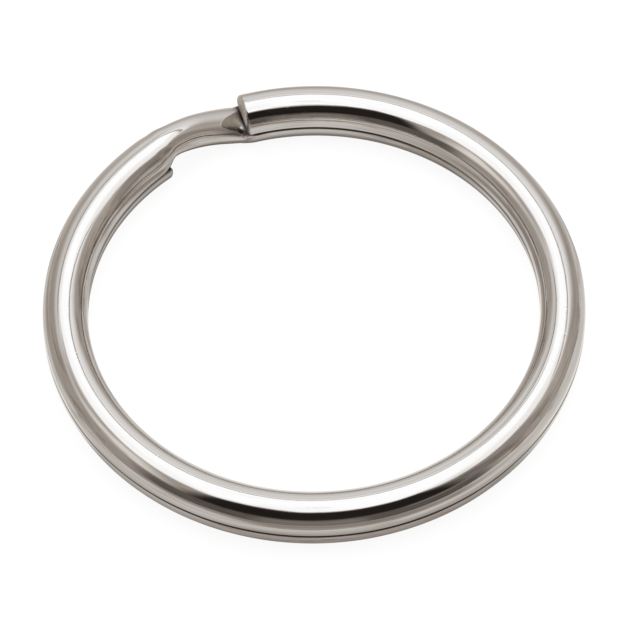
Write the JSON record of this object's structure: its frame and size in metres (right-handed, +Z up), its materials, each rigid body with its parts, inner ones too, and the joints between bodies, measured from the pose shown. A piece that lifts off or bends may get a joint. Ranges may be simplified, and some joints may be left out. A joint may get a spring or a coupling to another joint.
{
  "type": "split key ring",
  "caption": "Flat split ring wound from steel wire of D-shaped section, with a sloping crossover between its cut ends, for carrying keys and tags.",
  "frame": {"origin": "centre of the ring, on the surface that it rests on", "axes": "+Z up through the opening; +Y towards the side near the crossover and the cut ends; the ring lies flat"},
  "size_m": [0.03, 0.03, 0.003],
  "materials": {
    "nickel_plate": "polished nickel plate on spring steel, with faint lines along the wire and fine handling scratches"
  },
  "bodies": {
    "root": {"split_ring": "nickel_plate"}
  },
  "joints": []
}
